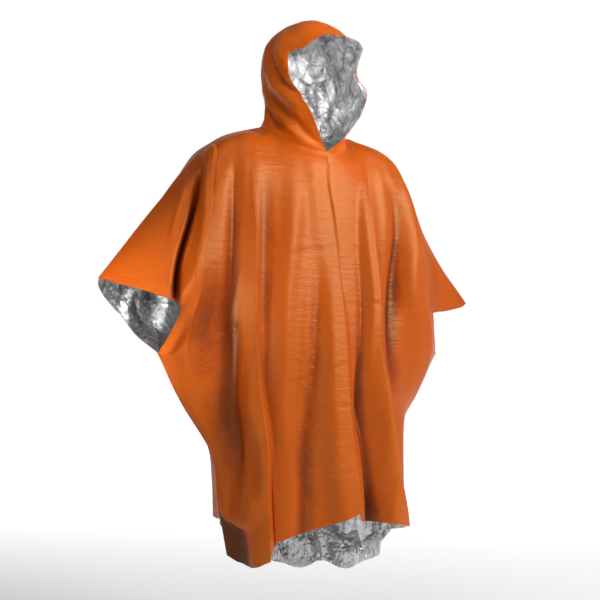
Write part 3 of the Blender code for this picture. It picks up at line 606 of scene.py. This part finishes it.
def foil_material(name, shade, facets, fine, rough=0.28, metal=0.75, gather=None):
    g = Graph(name)
    uv = g.node("UVMap", uv_map="cloth").outputs["UV"]
    obj = g.node("TexCoord").outputs["Object"]
    warp = g.node("TexNoise", {"Vector": obj, "Scale": 13.0, "Detail": 3.0, "Roughness": 0.6}).outputs["Color"]
    place = g.node("MixRGB", {"Fac": 0.11, "Color1": obj, "Color2": warp}, blend_type="ADD").outputs[0]
    big = g.node("TexVoronoi", {"Vector": g.scaled(place, (1.0, 1.0, 0.5)), "Scale": facets}, feature="DISTANCE_TO_EDGE").outputs["Distance"]
    mid = g.node("TexVoronoi", {"Vector": g.scaled(place, (1.0, 0.7, 1.0)), "Scale": 47.0, "Randomness": 1.0}, feature="DISTANCE_TO_EDGE").outputs["Distance"]
    small = g.node("TexNoise", {"Vector": obj, "Scale": 150.0, "Detail": 4.0, "Roughness": 0.7}).outputs["Fac"]
    folds = g.node("TexNoise", {"Vector": g.scaled(place, (1.0, 1.0, 0.45)), "Scale": 17.0, "Detail": 2.0, "Roughness": 0.5, "Distortion": 0.8}, noise_type="RIDGED_MULTIFRACTAL").outputs["Fac"]
    tint = g.node("TexNoise", {"Vector": place, "Scale": 16.0, "Detail": 6.0, "Roughness": 0.72}).outputs["Fac"]
    if gather:
        away = g.node("VectorMath", {0: obj, 1: gather}, operation="SUBTRACT").outputs["Vector"]
        away = g.node("VectorMath", {0: away}, operation="NORMALIZE").outputs["Vector"]
        away = g.node("MixRGB", {"Fac": 0.9, "Color1": away, "Color2": g.scaled(obj, (2.2, 2.2, 2.2))}, blend_type="ADD").outputs[0]
        rays = g.node("TexNoise", {"Vector": away, "Scale": 4.2, "Detail": 5.0, "Roughness": 0.62, "Distortion": 0.5}, noise_type="RIDGED_MULTIFRACTAL").outputs["Fac"]
        folds = rays
    tone = g.ramp(tint, ((0.34, (shade * .34, shade * .34, shade * .35, 1)), (0.45, (shade * .72, shade * .72, shade * .73, 1)), (0.53, (shade * .94, shade * .94, shade * .95, 1)), (0.66, (shade, shade, shade * 1.01, 1))))
    # Painted shade: the lining's colour is darker towards the hem, down to 0.72 at the bottom.
    low = g.node("MapRange", {"Value": g.node("SeparateXYZ", {"Vector": obj}).outputs["Z"], "From Min": -1.10, "From Max": -0.60, "To Min": 0.72, "To Max": 1.0}).outputs[0]
    # Painted shade in the creases: the hood lining's colour darkens along the ridged folds that its bump follows.
    if gather:
        lines = g.node("MapRange", {"Value": rays, "From Min": 0.0, "From Max": 0.014, "To Min": 0.50, "To Max": 1.0}).outputs[0]
        low = g.node("Math", {0: low, 1: lines}, operation="MULTIPLY").outputs[0]
    g.link(g.node("VectorMath", {0: tone, "Scale": low}, operation="SCALE").outputs["Vector"], "Base Color")
    g.shader.inputs["Metallic"].default_value = metal
    g.link(g.node("MapRange", {"Value": tint, "From Min": 0.3, "From Max": 0.7, "To Min": rough - 0.06, "To Max": rough + 0.12}).outputs[0], "Roughness")
    b1 = g.node("Bump", {"Strength": 0.9, "Distance": 0.58 / facets, "Height": big})
    b2 = g.node("Bump", {"Strength": fine, "Distance": 0.009, "Height": mid, "Normal": b1.outputs["Normal"]})
    b3 = g.node("Bump", {"Strength": 0.40 if gather else 0.45, "Distance": 0.014 if gather else 0.008, "Height": folds, "Normal": b2.outputs["Normal"]})
    b4 = g.node("Bump", {"Strength": 0.35, "Distance": 0.0015, "Height": small, "Normal": b3.outputs["Normal"]})
    g.link(b4.outputs["Normal"], "Normal")
    return g.material


ORANGE = film_material("orange_film", (0.09, 0.012, 0.001, 1), (0.26, 0.030, 0.001, 1), (0.47, 0.074, 0.001, 1), (0.55, 0.128, 0.012, 1))
# A lighter copy of the orange film for the hood: painted light, the same film made brighter where it sat too dark.
ORANGE_HOOD_PAINTED_LIGHTER = film_material("orange_film_hood_painted_lighter", (0.09, 0.012, 0.001, 1), (0.31, 0.037, 0.001, 1), (0.56, 0.094, 0.001, 1), (0.62, 0.150, 0.014, 1))
FOIL = foil_material("silver_foil", 0.98, 7.0, 0.22)
FOIL_HOOD = foil_material("silver_foil_hood", 1.0, 11.0, 0.6, rough=0.26, metal=0.25, gather=(0.0, -0.06, -0.01))

# ---------------------------------------------------------------- pieces
# The second value of each surface is painted light for the colour: fold height that pales ridges and darkens valleys.
front, front_painted_light, *_ = front_surface()
back, back_painted_light, *_ = back_surface()
front_film = shell("front_film", front, front_painted_light, 1, ORANGE, FOIL)
back_film = shell("back_film", back, back_painted_light, 1, ORANGE, FOIL)
hoods = {}
for side, left in (("right", False), ("left", True)):
    hood, hood_painted_light = hood_surface(left)
    hoods[side] = shell("hood_" + side + "_film", hood, hood_painted_light, -1, ORANGE_HOOD_PAINTED_LIGHTER, FOIL_HOOD)

for piece, node in ((front_film, "front_panel"), (back_film, "back_panel"), (hoods["right"], "hood_right"), (hoods["left"], "hood_left")):
    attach(piece, "root")
    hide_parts(node)

# ---------------------------------------------------------------- stage
floor_mesh = bpy.data.meshes.new("floor")
floor_mesh.from_pydata([(-14, -14, -1.46), (14, -14, -1.46), (14, 14, -1.46), (-14, 14, -1.46)], [], [(0, 1, 2, 3)])
floor = bpy.data.objects.new("floor", floor_mesh)
bpy.context.scene.collection.objects.link(floor)
g = Graph("pale_floor")
spots = g.node("TexNoise", {"Vector": g.node("TexCoord").outputs["Object"], "Scale": 1.5, "Detail": 3.0}).outputs["Fac"]
g.link(g.ramp(spots, ((0.3, (0.90, 0.90, 0.90, 1)), (0.7, (0.92, 0.92, 0.92, 1)))), "Base Color")
g.shader.inputs["Roughness"].default_value = 0.9
# The floor glows, faintly near the garment and fully far behind it: painted light that stands in for a lit white
# backdrop.
behind = g.node("VectorMath", {0: g.node("TexCoord").outputs["Object"], 1: (0.588, 0.809, 0.0)}, operation="DOT_PRODUCT").outputs["Value"]
g.link(g.node("MapRange", {"Value": behind, "From Min": -0.5, "From Max": 4.2, "To Min": 0.08, "To Max": 1.02}, interpolation_type="SMOOTHSTEP").outputs[0], "Emission Strength")
g.shader.inputs["Emission Color"].default_value = (1.0, 1.0, 1.0, 1.0)
floor_mesh.materials.append(g.material)

world = bpy.data.worlds.new("studio")
bpy.context.scene.world = world
world.use_nodes = True
sky = world.node_tree.nodes["Background"]
sky.inputs["Strength"].default_value = 1.0
w = world.node_tree
place = w.nodes.new("ShaderNodeTexCoord")
side = w.nodes.new("ShaderNodeVectorMath")
side.operation = "DOT_PRODUCT"
side.inputs[1].default_value = (0.588, 0.809, 0.0)
shade = w.nodes.new("ShaderNodeMapRange")
shade.interpolation_type = "SMOOTHSTEP"
for name, value in (("From Min", 0.72), ("From Max", 0.90), ("To Min", 0.10), ("To Max", 1.02)):
    shade.inputs[name].default_value = value
w.links.new(place.outputs["Generated"], side.inputs[0])
w.links.new(side.outputs["Value"], shade.inputs["Value"])
w.links.new(shade.outputs[0], sky.inputs["Color"])


def area_light(name, azimuth, elevation, distance, size, watts, aim=(0.0, 0.0, -0.35), spread=180):
    light = bpy.data.lights.new(name, "AREA")
    light.shape, light.size, light.energy = "DISK", size, watts
    light.spread = math.radians(spread)
    obj = bpy.data.objects.new(name, light)
    a, e = math.radians(azimuth), math.radians(elevation)
    obj.location = Vector(aim) + Vector((math.sin(a) * math.cos(e), -math.cos(a) * math.cos(e), math.sin(e))) * distance
    obj.rotation_euler = (obj.location - Vector(aim)).to_track_quat("Z", "Y").to_euler()
    bpy.context.scene.collection.objects.link(obj)


area_light("key", 30, 34, 3.4, 1.6, 90, (0.0, 0.0, -0.92))
area_light("top", -44, 58, 2.8, 1.4, 15)
area_light("fill", -56, 6, 3.2, 1.6, 19, (0.0, 0.0, -0.6))
area_light("hood", -8, 0, 1.5, 0.30, 0.40, (0.04, -0.02, 0.15), 22)
area_light("cuff", -70, -6, 1.3, 0.25, 0.50, (-0.48, 0.0, -0.43), 18)

camera_data = bpy.data.cameras.new("view")
camera_data.sensor_width = 36.0
camera_data.lens = 55.8
camera_data.shift_x = -2 / 600
camera_data.shift_y = 45 / 600
camera_data.clip_end = 60
camera = bpy.data.objects.new("view", camera_data)
camera.location = (math.sin(math.radians(-36)) * 2.40, -math.cos(math.radians(-36)) * 2.40, -0.50)
camera.rotation_euler = (math.radians(90), 0, math.radians(-36))
bpy.context.scene.collection.objects.link(camera)
bpy.context.scene.camera = camera
bpy.context.scene.view_settings.view_transform = "Standard"
